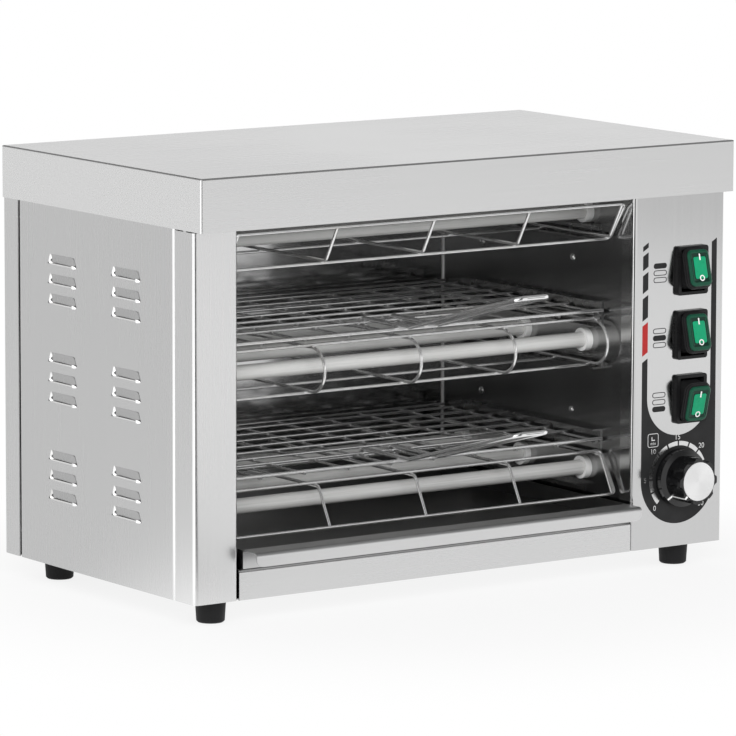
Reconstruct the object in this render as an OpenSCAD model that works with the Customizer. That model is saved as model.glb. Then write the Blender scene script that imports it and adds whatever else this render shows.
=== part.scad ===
// Double-deck quartz salamander grill with two sliding wire racks and a crumb tray.
// Millimetres, +Z up, +Y towards the rear. The origin is on the table, at the middle of the
// rectangle that the whole grill covers, rack handles included.

/* [Cabinet] */
// Width of the cabinet below the lid
body_w = 449; // [400:1:560]
// Depth of the cabinet from its front face to its rear face
body_d = 244.5; // [225:0.5:300]
// Height of the cabinet from its underside to its top edge
body_h = 251; // [240:1:300]
// Thickness of the sheet steel
sheet = 1; // [0.6:0.1:1.4]
// Bend radius of folded sheet at the middle of its thickness
fold_r = 2.5; // [1.5:0.5:4]
// Gap between neighbouring panels
seam = 0.8; // [0.4:0.1:1.5]
// Width of the left post on the front
post_w = 35; // [28:1:50]
// Width of the control panel on the front
panel_w = 81; // [76:1:110]
// How far the post and the control panel wrap onto the sides
front_wrap = 23.5; // [16:0.5:40]
// How far the rear panel wraps onto the sides
rear_wrap = 20; // [14:0.5:34]
// Depth of the folded returns that line the opening
return_d = 14; // [9:0.5:22]
// Height of the fascia below the crumb tray
fascia_h = 21; // [16:0.5:24]
// Space between the cavity back and the rear panel
back_gap = 13.3; // [8:0.1:24]

/* [Lid] */
// Height of the lid skirt
lid_h = 36.4; // [24:0.1:50]
// Overhang of the lid at the front
lid_front_over = 9.3; // [4:0.1:16]
// Overhang of the lid at the back
lid_back_over = 0.2; // [0:0.1:4]
// Overhang of the lid at each side
lid_side_over = 0.5; // [0.2:0.1:4]
// Outer radius of the lid edges
lid_edge_r = 1.6; // [1.5:0.1:3]
// Gap between the lid and the tops of the front posts
lid_gap = 0.8; // [0.4:0.1:2]
// Width of the lid's inward bottom flange
lid_flange = 12; // [11:0.5:20]

/* [Louvres] */
// Length of one louvre
louvre_l = 36.6; // [24:0.1:46]
// Height of one louvre
louvre_h = 7.2; // [5:0.1:9]
// How deep a louvre is pressed into the panel
louvre_deep = 3; // [2.4:0.1:4]
// Louvres in a group
louvre_n = 3; // [1:1:4]
// Groups in a column
louvre_groups = 3; // [1:1:3]
// Distance from louvre to louvre
louvre_pitch = 13.8; // [12:0.1:16]
// Distance from group to group
louvre_group_pitch = 68.5; // [58:0.5:76]
// First louvre below the cabinet top
louvre_top = 35.8; // [20:0.1:40]
// Distance between the two columns
louvre_columns = 81.5; // [60:0.5:110]
// Columns behind the middle of the side panel
louvre_back = 1.5; // [-6:0.5:6]

/* [Feet] */
// Height of a foot
foot_h = 16.5; // [10:0.5:30]
// Upper diameter of a foot
foot_d = 21.4; // [16:0.2:30]
// Lower diameter of a foot
foot_tip_d = 19.4; // [14:0.2:30]
// Foot centre from the cabinet side
foot_in_x = 26.7; // [20:0.1:40]
// Front foot centre from the cabinet front
foot_in_front = 21.5; // [18:0.1:40]
// Rear foot centre from the cabinet back
foot_in_rear = 30; // [18:0.1:40]

/* [Heaters] */
// Outer diameter of a quartz tube
tube_d = 10.8; // [8:0.1:12]
// Wall of a quartz tube
tube_wall = 1; // [0.6:0.1:1.4]
// Height of the lowest tubes above the cabinet underside
tube_low = 53; // [51:0.5:60]
// Drop of the highest tubes below the cabinet top
tube_drop = 14.2; // [12:0.1:18]
// Front tubes behind the front face
tube_front = 55.7; // [50:0.1:70]
// Rear tubes ahead of the cavity back
tube_rear = 29; // [20:0.5:40]
// Diameter of a ceramic end collar
collar_d = 16.4; // [15.2:0.1:17]
// How far a collar stands into the cavity
collar_l = 5; // [3:0.5:9]
// Diameter of the heater coil
coil_d = 6; // [3:0.5:6.5]

/* [Rails] */
// How far a rail flange stands out of the cavity wall
rail_d = 8; // [6:0.5:12]
// Height from flange to flange
rail_pitch = 9; // [8.4:0.1:9.2]
// Rack flange above the tubes of its level
rack_rise = 20.2; // [19.4:0.1:22]
// Guard flange below the tubes of its level
guard_drop = 18.3; // [17.8:0.1:19]
// Front ends of the rails behind the front face
rail_front = 37; // [34:0.5:50]
// Rear ends of the rails ahead of the cavity back
rail_rear = 23; // [10:0.5:40]

/* [Guards] */
// Wire diameter of the heater guards
guard_d = 2.2; // [1.6:0.1:2.6]
// Cross wires in a guard
guard_n = 5; // [3:1:8]
// Slope of the guard front, measured along the depth
guard_slope = 13.5; // [8:0.5:16]
// Front corner of the top guard behind the front face
guard_front = 21.7; // [18:0.1:28]
// Front corner of the bottom guard behind the front face
guard_low_front = 30; // [20:0.5:32]
// Distance between the long wires of the flat guards
guard_gap = 76; // [50:1:80]
// Distance between the long wires under the middle guard
guard_mid_gap = 39; // [30:1:60]

/* [Racks] */
// Wire diameter of a rack
rack_d = 2; // [1.6:0.1:2.6]
// Diameter of the front rail of a rack
rack_rail_d = 2.8; // [2.4:0.1:4]
// Gap beside a rack on each side
rack_side = 1.5; // [1:0.1:3]
// Front rail behind the front face
rack_front = 33.7; // [26:0.1:45]
// Gap behind a rack
rack_back = 5; // [3:0.5:12]
// Wide gap behind the front rail
rack_first = 40; // [30:1:50]
// Narrow gap ahead of the rear wire
rack_last = 16; // [10:1:30]
// Long wires between the two gaps
rack_n = 7; // [3:1:9]
// Cross wires in a rack
rack_cross_n = 10; // [4:1:12]
// Wire diameter of a handle
handle_d = 3.2; // [2.6:0.1:4]
// Distance between the legs of a handle
handle_w = 25; // [18:1:40]
// Bend of a handle ahead of the front rail
handle_bend = 14; // [8:0.5:20]
// Reach of a handle ahead of its bend
handle_reach = 127; // [80:1:160]
// Rise of a handle above its bend
handle_rise = 34; // [15:0.5:40]

/* [Crumb tray] */
// Gap beside the tray on each side
tray_side = 3.8; // [2.5:0.1:5]
// Height of the tray walls
tray_h = 13; // [8:0.5:13.5]
// How far the pull flange stands out of the front
tray_pull = 17; // [10:0.5:24]
// Height of the pull lip
tray_lip = 9.5; // [6:0.5:12]
// Gap behind the tray
tray_back = 6; // [3:0.5:15]

/* [Switches] */
// Width of a switch frame
switch_w = 27.2; // [26:0.1:34]
// Height of a switch frame
switch_h = 34.7; // [33.5:0.1:40]
// How far a switch frame stands out of the panel
switch_out = 3.3; // [3:0.1:3.8]
// Top switch centre below the cabinet top
switch_top = 54.1; // [40:0.1:70]
// Distance from switch to switch
switch_pitch = 45.8; // [43:0.1:50]
// Switch centre from the cabinet side
switch_in_x = 30.4; // [24:0.1:44]
// Width of a rocker
rocker_w = 20.2; // [16:0.1:22]
// Height of a rocker
rocker_h = 26.2; // [22:0.1:27]
// How far a level rocker stands out of the panel
rocker_out = 12.5; // [12:0.1:15]
// Tilt of a rocker to either side
rocker_tilt = 13.5; // [5:0.5:14]

/* [Timer] */
// Dial centre below the bottom switch
dial_drop = 55.9; // [50:0.1:62]
// Dial centre from the cabinet side
dial_in_x = 39.7; // [28:0.1:50]
// Diameter of the knob skirt
skirt_d = 41; // [36:0.1:48]
// Diameter of the knob grip
grip_d = 33; // [30:0.5:34.5]
// How far the knob stands out of the panel
knob_out = 24.2; // [18:0.1:32]
// Diameter of the metal cap
cap_d = 27.4; // [20:0.1:30]
// Flutes around the grip
flute_n = 8; // [5:1:10]
// Diameter of the timer shaft
shaft_d = 6; // [5:0.5:8]
// Diameter of the timer case
timer_d = 44; // [36:1:50]
// Depth of the timer case
timer_l = 28; // [20:1:40]

/* [Mains inlet] */
// Bore of the cable gland
gland_bore = 9; // [6:0.5:12]
// How far the gland stands out of the rear panel
gland_out = 15; // [10:0.5:24]
// Gland centre above the cabinet underside
gland_z = 40; // [25:1:80]
// Gland centre from the cabinet side
gland_in_x = 45; // [32:1:60]

/* [Hidden] */
$fn = 48;
LEVELS = ["bottom", "middle", "top"];
ROWS = ["front", "centre", "rear"];

// Clearances
slide_gap = 0.3;      // between pieces that slide on each other
rest_gap = 0.1;       // under a wire that lies on a rail
weld = 0.3;           // how far welded wires sink into each other
swell = 0.02;         // how much a bend is thicker than its wire, all round
sink = 0.05;          // how far a straight wire runs on into a bend
fit_gap = 0.2;        // around a piece that is held in a hole
notch_gap = 0.4;      // around a folded return that passes through a plate

// Outline of the cabinet
half_w = body_w / 2;
open_l = -half_w + post_w;
open_r = half_w - panel_w;
open_mid = (open_l + open_r) / 2;
wall_l = open_l - sheet;
wall_r = open_r + sheet;
handle_ahead = handle_bend + handle_reach + handle_d / 2 - rack_front;
front_reach = max(handle_ahead, lid_front_over);
front_y = front_reach - (front_reach + body_d + gland_out) / 2;
back_y = front_y + body_d;
cavity_back = back_y - sheet - back_gap;
base_z = foot_h;
top_z = base_z + body_h;
lid_z = top_z + lid_gap;
ceiling_z = top_z - sheet;
side_front = front_y + front_wrap + seam;
side_back = back_y - rear_wrap - seam;

edge_d = 9.5;
tab_w = 3;

// Heater levels, counted from the bottom
tube_z = [for (k = [0:2]) base_z + tube_low + k * (body_h - tube_drop - tube_low) / 2];
tube_y0 = front_y + tube_front;
tube_step = (cavity_back - tube_rear - tube_y0) / 2;
tube_bore = tube_d + 2 * fit_gap;
neck_wall = 1.5;
collar_neck = tube_bore + 2 * neck_wall;
collar_out = 14;
collar_end = 4;
pin_d = 3;
pin_out = 6;

// Rails
deck_z = [tube_z[0] + rack_rise, tube_z[1] + rack_rise];
guard_rail_z = [for (k = [1, 2]) tube_z[k] - guard_drop];
rail_y0 = front_y + rail_front;
rail_y1 = cavity_back - rail_rear;
guide_up = 40;
guide_z = base_z + guide_up;
guide_drop = 4;
guide_y0 = tube_y0;
runner_w = 12;
runner_h = 8;

// Racks and handles
rack_x0 = open_l + rack_side;
rack_x1 = open_r - rack_side;
rack_y0 = front_y + rack_front;
rack_y1 = cavity_back - rack_back;
rack_step = (rack_y1 - rack_y0 - rack_first - rack_last) / (rack_n - 1);
rack_wires = [for (i = [0:rack_n - 1]) rack_y0 + rack_first + i * rack_step];
cross_in = 3;
cross_over = 1;
handle_corner = 6;
hook_r = rack_d / 2 + fit_gap + handle_d / 2;
hook_tip = 4;

// Louvres: straight part between the round ends, and thickness of the sloping sheet along X
louvre_straight = louvre_l - 2 * louvre_deep;
louvre_sheet = sheet * sqrt(1 + pow(louvre_deep / louvre_h, 2));
louvre_lip = 0.7;
louvre_bead = 0.2;

// Guards
guard_hold = 2;
guard_x0 = wall_l + rail_d - guard_hold;
guard_x1 = wall_r - rail_d + guard_hold;
guard_xs = [for (i = [0:guard_n - 1]) guard_x0 + i * (guard_x1 - guard_x0) / (guard_n - 1)];
guard_tail = 4;
guard_y1 = rail_y1 + guard_tail;
guard_end = 3;
guard_bend_r = 4;
guard_hook_gap = 0.4;
guard_nose_back = 1;
guard_low_back = 8;

// Crumb tray
tray_x0 = open_l + tray_side;
tray_x1 = open_r - tray_side;
tray_z = base_z + fascia_h + slide_gap;
tray_y1 = cavity_back - tray_back;
lip_r = 5;

// Switches and timer
switch_x = half_w - switch_in_x;
switch_z = [for (k = [0:2]) top_z - switch_top - k * switch_pitch];
rocker_rest = [-rocker_tilt, -rocker_tilt, rocker_tilt];
rocker_gap = 0.5;
rocker_back = 6;
well_w = rocker_w + 2 * rocker_gap;
well_h = rocker_h + 2 * rocker_back * sin(rocker_tilt) + 2 * rocker_gap;
case_wall = 1.2;
switch_l = 24;
switch_r = 2;
frame_step = 0.4;
pivot_d = 3;
rocker_r = 4;
rocker_cap = 2;
collar_h = 2.6;
collar_side = 1.6;
dial_x = half_w - dial_in_x;
dial_z = switch_z[2] - dial_drop;
bush_wall = 2;
bush_d = shaft_d + 2 * bush_wall;
bush_out = 1.5;
shaft_in = 12;
shaft_gap = 0.15;
shaft_top = 4;
skirt_t = 6;
skirt_cone = 1.5;
skirt_ledge = 0.5;
skirt_gap = 0.8;
cap_t = 1;
cap_seat = 0.5;
flute_d = 11;
knob_rim = 0.6;
flute_depth = (grip_d - cap_d) / 2 - knob_rim;
flute_step = 0.8;
flute_foot = skirt_gap + skirt_t + skirt_cone + flute_step;
knob_neck = 5;

// Mains inlet
gland_x = half_w - gland_in_x;
gland_wall = 2.5;
gland_flange = 3;
gland_nut = 4;
gland_thread = gland_bore + 2 * gland_wall;
gland_hex = gland_thread + 2 * gland_flange;
gland_in = 9;

// Fasteners
screw_d = 3;
head_d = 5.5;
head_h = 1.7;
nut_d = 6;
nut_t = 2.4;
screw_tail = 1;
liner_screw_front = 72.5;
liner_screw_step = 109;
liner_screw_low = 19;
liner_screw_high = 36.9;
liner_screw_y = [for (i = [0, 1]) front_y + liner_screw_front + i * liner_screw_step];
liner_screw_z = [deck_z[0] + liner_screw_low, deck_z[1] + liner_screw_high];
rear_screw_in = 14;
foot_x = half_w - foot_in_x;
foot_ys = [front_y + foot_in_front, back_y - foot_in_rear];
foot_bore = 4;

STEEL = [0.80, 0.80, 0.79];
MIRROR = [0.42, 0.42, 0.43];
WIRE = [0.72, 0.73, 0.74];
BLACK = [0.09, 0.09, 0.09];

// Signed turn from direction a to direction b, in degrees
function heading(v) = atan2(v[1], v[0]);
function turn(a, b) = (heading(b) - heading(a) + 900) % 360 - 180;
// Length that the bend at point i takes from the runs beside it
function trim(pts, i, r) = i == 0 || i == len(pts) - 1 ? 0
    : r * tan(abs(turn(pts[i] - pts[i - 1], pts[i + 1] - pts[i])) / 2);

// Places its children at the start of run i of a path, with +X along the run
module on_run(pts, i, r) {
    u = (pts[i + 1] - pts[i]) / norm(pts[i + 1] - pts[i]);
    s = pts[i] + u * trim(pts, i, r);
    translate([s[0], s[1], 0]) rotate(heading(u)) children();
}

function run_length(pts, i, r) = norm(pts[i + 1] - pts[i]) - trim(pts, i, r) - trim(pts, i + 1, r);

// Sweeps the 2D child, drawn beside a centre at the origin, through the bend at point i
module on_bend(pts, i, r) {
    u = (pts[i] - pts[i - 1]) / norm(pts[i] - pts[i - 1]);
    a = turn(pts[i] - pts[i - 1], pts[i + 1] - pts[i]);
    s = pts[i] - u * trim(pts, i, r);
    translate([s[0], s[1], 0]) rotate(heading(u)) translate([0, sign(a) * r, 0])
        rotate(a > 0 ? -90 : 90 + a) rotate_extrude(angle = abs(a)) translate([r, 0]) children();
}

// Round wire along a flat path
module rod(pts, r, d) {
    last = len(pts) - 2;
    for (i = [0:last])
        if (run_length(pts, i, r) > 0.01) {
            s0 = i > 0 ? sink : 0;
            s1 = i < last ? sink : 0;
            on_run(pts, i, r) wire_x(-s0, run_length(pts, i, r) + s1, 0, 0, d);
        }
    for (i = [1:1:last])
        on_bend(pts, i, r) circle(d = d + 2 * swell);
}

// Folded sheet along a flat path, h wide across the path
module fold(pts, h, r = fold_r, t = sheet) {
    for (i = [0:len(pts) - 2])
        if (run_length(pts, i, r) > 0.01)
            on_run(pts, i, r) translate([0, -t / 2, 0]) cube([run_length(pts, i, r), t, h]);
    for (i = [1:1:len(pts) - 2])
        on_bend(pts, i, r) translate([-t / 2, 0]) square([t, h]);
}

// Turn a flat path so that its x, y and width run along Y, Z and X, or along X, Z and -Y
module side_on(x) translate([x, 0, 0]) rotate([90, 0, 90]) children();
module front_on(y) translate([0, y, 0]) rotate([90, 0, 0]) children();

module block(x0, x1, y0, y1, z0, z1) translate([x0, y0, z0]) cube([x1 - x0, y1 - y0, z1 - z0]);
module wire_x(x0, x1, y, z, d) translate([x0, y, z]) rotate([0, 90, 0]) cylinder(d = d, h = x1 - x0);
module both_sides() {
    children();
    translate([2 * open_mid, 0, 0]) mirror([1, 0, 0]) children();
}

module round_rect(w, h, r) {
    square([w - 2 * r, h], center = true);
    square([w, h - 2 * r], center = true);
    for (x = [-1, 1], y = [-1, 1])
        translate([x * (w / 2 - r), y * (h / 2 - r)]) circle(r);
}

// Domed screw head with its shank, pointing along +Z, head on top of z = 0
module dome_screw(shank) {
    ball = (pow(head_d / 2, 2) + pow(head_h, 2)) / (2 * head_h);
    intersection() {
        translate([0, 0, head_h - ball]) sphere(ball);
        cylinder(d = head_d + 1, h = head_h + 1);
    }
    translate([0, 0, -shank]) cylinder(d = screw_d, h = shank);
}

module hex_nut() difference() {
    cylinder(d = nut_d, h = nut_t, $fn = 6);
    translate([0, 0, -1]) cylinder(d = screw_d + fit_gap, h = nut_t + 2);
}

// Block with every edge rounded except those of its underside
module soft_top(x0, x1, y0, y1, z0, z1, r) {
    w = x1 - x0;
    d = y1 - y0;
    h = z1 - z0;
    translate([(x0 + x1) / 2, (y0 + y1) / 2, z0]) intersection() {
        linear_extrude(h) round_rect(w, d, r);
        translate([0, d / 2, 0]) rotate([90, 0, 0]) linear_extrude(d) round_rect(w, 2 * h, r);
        translate([-w / 2, 0, 0]) rotate([90, 0, 90]) linear_extrude(w) round_rect(d, 2 * h, r);
    }
}

// Lid: a shallow box turned upside down, with an inward flange that rests on the side panels
module lid() color(STEEL) {
    x = half_w + lid_side_over;
    y0 = front_y - lid_front_over;
    y1 = back_y + lid_back_over;
    z1 = lid_z + lid_h;
    in_r = max(lid_edge_r - sheet, 0.4);
    difference() {
        soft_top(-x, x, y0, y1, lid_z, z1, lid_edge_r);
        soft_top(-x + sheet, x - sheet, y0 + sheet, y1 - sheet, lid_z + sheet, z1 - sheet, in_r);
        block(-x + lid_flange, x - lid_flange, y0 + lid_flange + lid_front_over, y1 - lid_flange,
            lid_z - 1, lid_z + sheet + 1);
    }
}

// Small spacer that carries the lid above a post
module lid_tab(x, y) block(x - sheet / 2, x + sheet / 2, y - tab_w / 2, y + tab_w / 2, top_z, lid_z);

module left_post() color(STEEL) {
    x0 = -half_w + sheet / 2;
    x1 = open_l - sheet / 2;
    y0 = front_y + sheet / 2;
    path = [[x0, front_y + front_wrap], [x0, y0], [x1, y0], [x1, front_y + return_d]];
    translate([0, 0, base_z]) fold(path, body_h);
    lid_tab(x0, front_y + front_wrap / 2);
}

module control_panel() color(STEEL) {
    x0 = open_r + sheet / 2;
    x1 = half_w - sheet / 2;
    y0 = front_y + sheet / 2;
    path = [[x0, front_y + return_d], [x0, y0], [x1, y0], [x1, front_y + front_wrap]];
    cut_w = well_w + 2 * case_wall + 2 * fit_gap;
    cut_h = well_h + 2 * case_wall + 2 * fit_gap;
    difference() {
        translate([0, 0, base_z]) fold(path, body_h);
        for (z = switch_z)
            block(switch_x - cut_w / 2, switch_x + cut_w / 2, front_y - 1, front_y + sheet + 1,
                z - cut_h / 2, z + cut_h / 2);
        translate([dial_x, front_y - 1, dial_z]) rotate([-90, 0, 0])
            cylinder(d = bush_d + 2 * fit_gap, h = sheet + 2);
    }
    lid_tab(x1, front_y + front_wrap / 2);
}

// Wedge of a louvre, measured from the outer face of a panel that faces -X: it is rooted at x, reaches the
// given depth at z = 0, runs to nothing upwards, goes on below by low and has round ends
module louvre_wedge(x, deep, straight, low) {
    slope = louvre_h / louvre_deep;
    reach = deep - x + low / slope;
    translate([x, 0, -low]) {
        translate([0, straight / 2, 0]) rotate([90, 0, 0]) linear_extrude(straight)
            polygon([[0, 0], [reach, 0], [0, reach * slope]]);
        for (s = [0, 1])
            mirror([0, s, 0]) translate([0, straight / 2, 0])
                rotate_extrude(angle = 90) polygon([[0, 0], [reach, 0], [0, reach * slope]]);
    }
}

// Sheet behind a louvre, still solid
module louvre_hood() louvre_wedge(sheet / 2, louvre_deep + louvre_sheet, louvre_straight + sheet, louvre_lip);

// Hollow of a louvre, with the slot under the hood
module louvre_hollow() {
    w = louvre_straight / 2;
    louvre_wedge(-sheet / 2, louvre_deep, louvre_straight, 0);
    block(sheet + louvre_bead, louvre_deep - louvre_bead, -w, w, -2 * louvre_lip, louvre_lip);
}

module at_louvres() {
    mid = (side_front + side_back) / 2 + louvre_back;
    for (c = [-1, 1], g = [0:louvre_groups - 1], i = [0:louvre_n - 1])
        translate([-half_w, mid + c * louvre_columns / 2,
            top_z - louvre_top - louvre_h / 2 - g * louvre_group_pitch - i * louvre_pitch]) children();
}

module left_side_panel() color(STEEL) {
    x0 = -half_w + sheet / 2;
    y0 = side_front + sheet / 2;
    y1 = side_back - sheet / 2;
    inner = -half_w + edge_d;
    path = [[inner, y0], [x0, y0], [x0, y1], [inner, y1]];
    difference() {
        union() {
            translate([0, 0, base_z]) fold(path, body_h + lid_gap);
            at_louvres() louvre_hood();
        }
        at_louvres() louvre_hollow();
    }
}

module right_side_panel() mirror([1, 0, 0]) left_side_panel();

module rear_panel() color(STEEL) {
    x = half_w - sheet / 2;
    y1 = back_y - sheet / 2;
    path = [[-x, back_y - rear_wrap], [-x, y1], [x, y1], [x, back_y - rear_wrap]];
    difference() {
        translate([0, 0, base_z]) fold(path, body_h + lid_gap);
        translate([gland_x, back_y - sheet - 1, base_z + gland_z]) rotate([-90, 0, 0])
            cylinder(d = gland_thread + 2 * fit_gap, h = sheet + 2);
        at_rear_screws() cylinder(d = screw_d + 2 * fit_gap, h = 10 * sheet, center = true);
    }
}

// Room for the folded returns of the post and the control panel
module return_notches(z0, z1) {
    for (x = [open_l - sheet / 2, open_r + sheet / 2]) {
        block(x - sheet / 2 - notch_gap, x + sheet / 2 + notch_gap, front_y - 1,
            front_y + return_d + notch_gap, z0, z1);
        block(x - fold_r - notch_gap, x + fold_r + notch_gap, front_y - 1,
            front_y + fold_r + sheet / 2 + notch_gap, z0, z1);
    }
}

// Room for the folded edges of the side panels
module edge_notches(z0, z1) {
    in_x = half_w - edge_d - notch_gap;
    for (x = [-half_w, in_x], y = [side_front + sheet / 2, side_back - sheet / 2])
        block(x, x + half_w - in_x, y - fold_r - notch_gap, y + fold_r + notch_gap, z0, z1);
}

module base_plate() color(STEEL) difference() {
    translate([0, (front_y + back_y) / 2, base_z]) linear_extrude(sheet)
        round_rect(body_w - 2 * sheet, body_d - 2 * sheet, fold_r + sheet);
    return_notches(base_z - 1, base_z + sheet + 1);
    edge_notches(base_z - 1, base_z + sheet + 1);
    for (x = [-foot_x, foot_x], y = foot_ys)
        translate([x, y, base_z - 1]) cylinder(d = foot_bore + 2 * fit_gap, h = sheet + 2);
}

module bottom_fascia() color(STEEL) {
    y0 = front_y + sheet / 2;
    z1 = base_z + fascia_h - sheet / 2;
    path = [[y0, base_z], [y0, z1], [front_y + return_d, z1]];
    side_on(open_l + seam) fold(path, open_r - open_l - 2 * seam);
}

module collar_holes() {
    for (z = tube_z, j = [0:2])
        wire_x(wall_l - 2 * sheet, wall_r + 2 * sheet, tube_y0 + j * tube_step, z,
            collar_neck + 2 * fit_gap);
}

module liner_wall(x0, x1) color(MIRROR) difference() {
    block(x0, x1, front_y + fold_r + sheet / 2, cavity_back + sheet, base_z + sheet, ceiling_z);
    collar_holes();
    at_liner_screws() cylinder(d = screw_d + 2 * fit_gap, h = 6 * sheet, center = true);
}

module left_liner() liner_wall(wall_l - sheet, wall_l);
module right_liner() liner_wall(wall_r, wall_r + sheet);
module rear_liner() color(MIRROR)
    block(wall_l, wall_r, cavity_back, cavity_back + sheet, base_z + sheet, ceiling_z);

module ceiling_reflector() color(MIRROR) difference() {
    block(wall_l - sheet, wall_r + sheet, front_y + sheet, cavity_back + sheet, ceiling_z, top_z);
    return_notches(ceiling_z - 1, top_z + 1);
}

// Rail with a web on the wall and a flange at each of the given heights
module rail(y0, y1, zs) color(WIRE) both_sides() {
    block(wall_l, wall_l + sheet, y0, y1, min(zs) - sheet / 2, max(zs) + sheet / 2);
    for (z = zs)
        block(wall_l, wall_l + rail_d, y0, y1, z - sheet / 2, z + sheet / 2);
}

module rack_rails(z) rail(rail_y0, rail_y1, [z - rail_pitch, z, z + rail_pitch]);
module guard_rails(z) rail(rail_y0, rail_y1, [z, z + rail_pitch]);

// Angles above the tray walls that keep the tray from tipping
module tray_guides() color(WIRE) both_sides() {
    block(wall_l, wall_l + sheet, guide_y0, rail_y1, guide_z - guide_drop, guide_z);
    block(wall_l, wall_l + rail_d, guide_y0, rail_y1, guide_z, guide_z + sheet);
}

module tray_runners() color(WIRE) {
    z = base_z + fascia_h - sheet / 2;
    x = wall_l + sheet / 2;
    path = [[x, z + runner_h], [x, z], [x + runner_w, z]];
    y0 = front_y + return_d + seam;
    both_sides() front_on(cavity_back) fold(path, cavity_back - y0);
}

// Welded guard wires that share one path on the cross wires
module guard_cross(path, r) {
    for (x = guard_xs)
        side_on(x) rod(path, r, guard_d);
}

module guard_long(y, z) wire_x(guard_x0 - guard_end, guard_x1 + guard_end, y, z, guard_d);

// Long wires at a steady distance from y, and one at the rear
module guard_longs(y, gap, z) {
    for (i = [y:gap:guard_y1 - guard_end - 2 * guard_d])
        guard_long(i, z);
    guard_long(guard_y1 - guard_end, z);
}

// Front frame of a guard: one loop of wire with round corners, its long sides at the [y, z] points a and b
module guard_frame(a, b) {
    span = (guard_x1 - guard_x0) / 2 + guard_end;
    seam_x = (guard_xs[1] - guard_xs[0]) / 2;
    rise = norm(b - a);
    translate([(guard_x0 + guard_x1) / 2, a[0], a[1]]) rotate([heading(b - a), 0, 0]) {
        rod([[seam_x + sink, 0], [span, 0], [span, rise], [-span, rise], [-span, 0], [seam_x - sink, 0]],
            guard_bend_r, guard_d);
        wire_x(seam_x - guard_d, seam_x + guard_d, 0, 0, guard_d + 2 * swell);
    }
}

// Flat guard with a sloping front; up is +1 when the front rises from the flat part
module flat_guard(y0, z_flat, z_tip, up) color(WIRE) {
    tip = [y0 - guard_slope, z_tip];
    z_long = z_flat - up * (guard_d - weld);
    guard_cross([[guard_y1, z_flat], [y0, z_flat], tip], guard_bend_r);
    guard_frame([tip[0], z_tip + up * (guard_d / 2 - weld)], [y0 + guard_bend_r, z_long]);
    guard_longs(y0 + guard_bend_r + guard_gap, guard_gap, z_long);
}

module top_guard() {
    z = guard_rail_z[1] + sheet / 2 + rest_gap + guard_d * 1.5 - weld;
    flat_guard(front_y + guard_front, z, ceiling_z - 2 * guard_d, 1);
}

module bottom_guard() {
    z = deck_z[0] - rail_pitch + sheet / 2 + rest_gap + guard_d / 2;
    flat_guard(front_y + guard_low_front, z, guide_z, -1);
}

// Middle guard: each cross wire wraps round the front of the tubes
module middle_guard() color(WIRE) {
    z_long = guard_rail_z[0] + sheet / 2 + rest_gap + guard_d / 2;
    z0 = z_long + guard_d - weld;
    z_top = rack_wire_z(1) - hook_r - handle_d / 2 - guard_hook_gap - guard_d / 2;
    z1 = z_top - guard_d + weld;
    nose = front_y + guard_front + guard_nose_back;
    r = (z1 - z0) / 2;
    guard_cross([[guard_y1, z1], [nose, z1], [nose, z0], [guard_y1, z0]], r);
    guard_longs(nose + r - guard_nose_back, guard_y1 - nose, z_top);
    guard_longs(nose + r + guard_low_back, guard_mid_gap, z_long);
}

module quartz_tube(k, j) color([0.86, 0.86, 0.84]) {
    over = collar_out - collar_end - fit_gap;
    difference() {
        wire_x(wall_l - over, wall_r + over, tube_y0 + j * tube_step, tube_z[k], tube_d);
        wire_x(wall_l - over - 1, wall_r + over + 1, tube_y0 + j * tube_step, tube_z[k],
            tube_d - 2 * tube_wall);
    }
}

// Ceramic collars: a flange inside the cavity and a neck through the liner
module collars(k) color([0.95, 0.95, 0.93]) both_sides() for (j = [0:2])
    translate([wall_l, tube_y0 + j * tube_step, tube_z[k]]) rotate([0, 90, 0]) difference() {
        union() {
            cylinder(d = collar_d, h = collar_l);
            translate([0, 0, -collar_out]) cylinder(d = collar_neck, h = collar_out + 1);
        }
        translate([0, 0, collar_end - collar_out]) cylinder(d = tube_bore, h = collar_out + collar_l);
        translate([0, 0, -collar_out - 1]) cylinder(d = pin_d + 2 * fit_gap, h = collar_out);
    }

// Heater windings as plain rods inside the tubes, with their connection pins
module coils(k) color([0.45, 0.42, 0.40]) for (j = [0:2]) {
    y = tube_y0 + j * tube_step;
    out = collar_out + pin_out;
    wire_x(wall_l, wall_r, y, tube_z[k], coil_d);
    wire_x(wall_l - out, wall_r + out, y, tube_z[k], pin_d);
}

function rack_cross_z(k) = deck_z[k] + sheet / 2 + slide_gap + rack_d / 2;
function rack_wire_z(k) = rack_cross_z(k) + rack_d - weld;

module rack(k) color(WIRE) {
    x0 = rack_x0 + cross_in;
    step = (rack_x1 - cross_in - x0) / (rack_cross_n - 1);
    rail_z = rack_wire_z(k) + hook_r - handle_d / 2 - rest_gap - rack_rail_d / 2;
    wire_x(rack_x0, rack_x1, rack_y0, rail_z, rack_rail_d);
    for (y = concat(rack_wires, [rack_y1]))
        wire_x(rack_x0, rack_x1, y, rack_wire_z(k), rack_d);
    for (i = [0:rack_cross_n - 1])
        translate([x0 + i * step, rack_y0 - cross_over, rack_cross_z(k)]) rotate([-90, 0, 0])
            cylinder(d = rack_d, h = rack_y1 - rack_y0 + 2 * cross_over);
}

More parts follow.
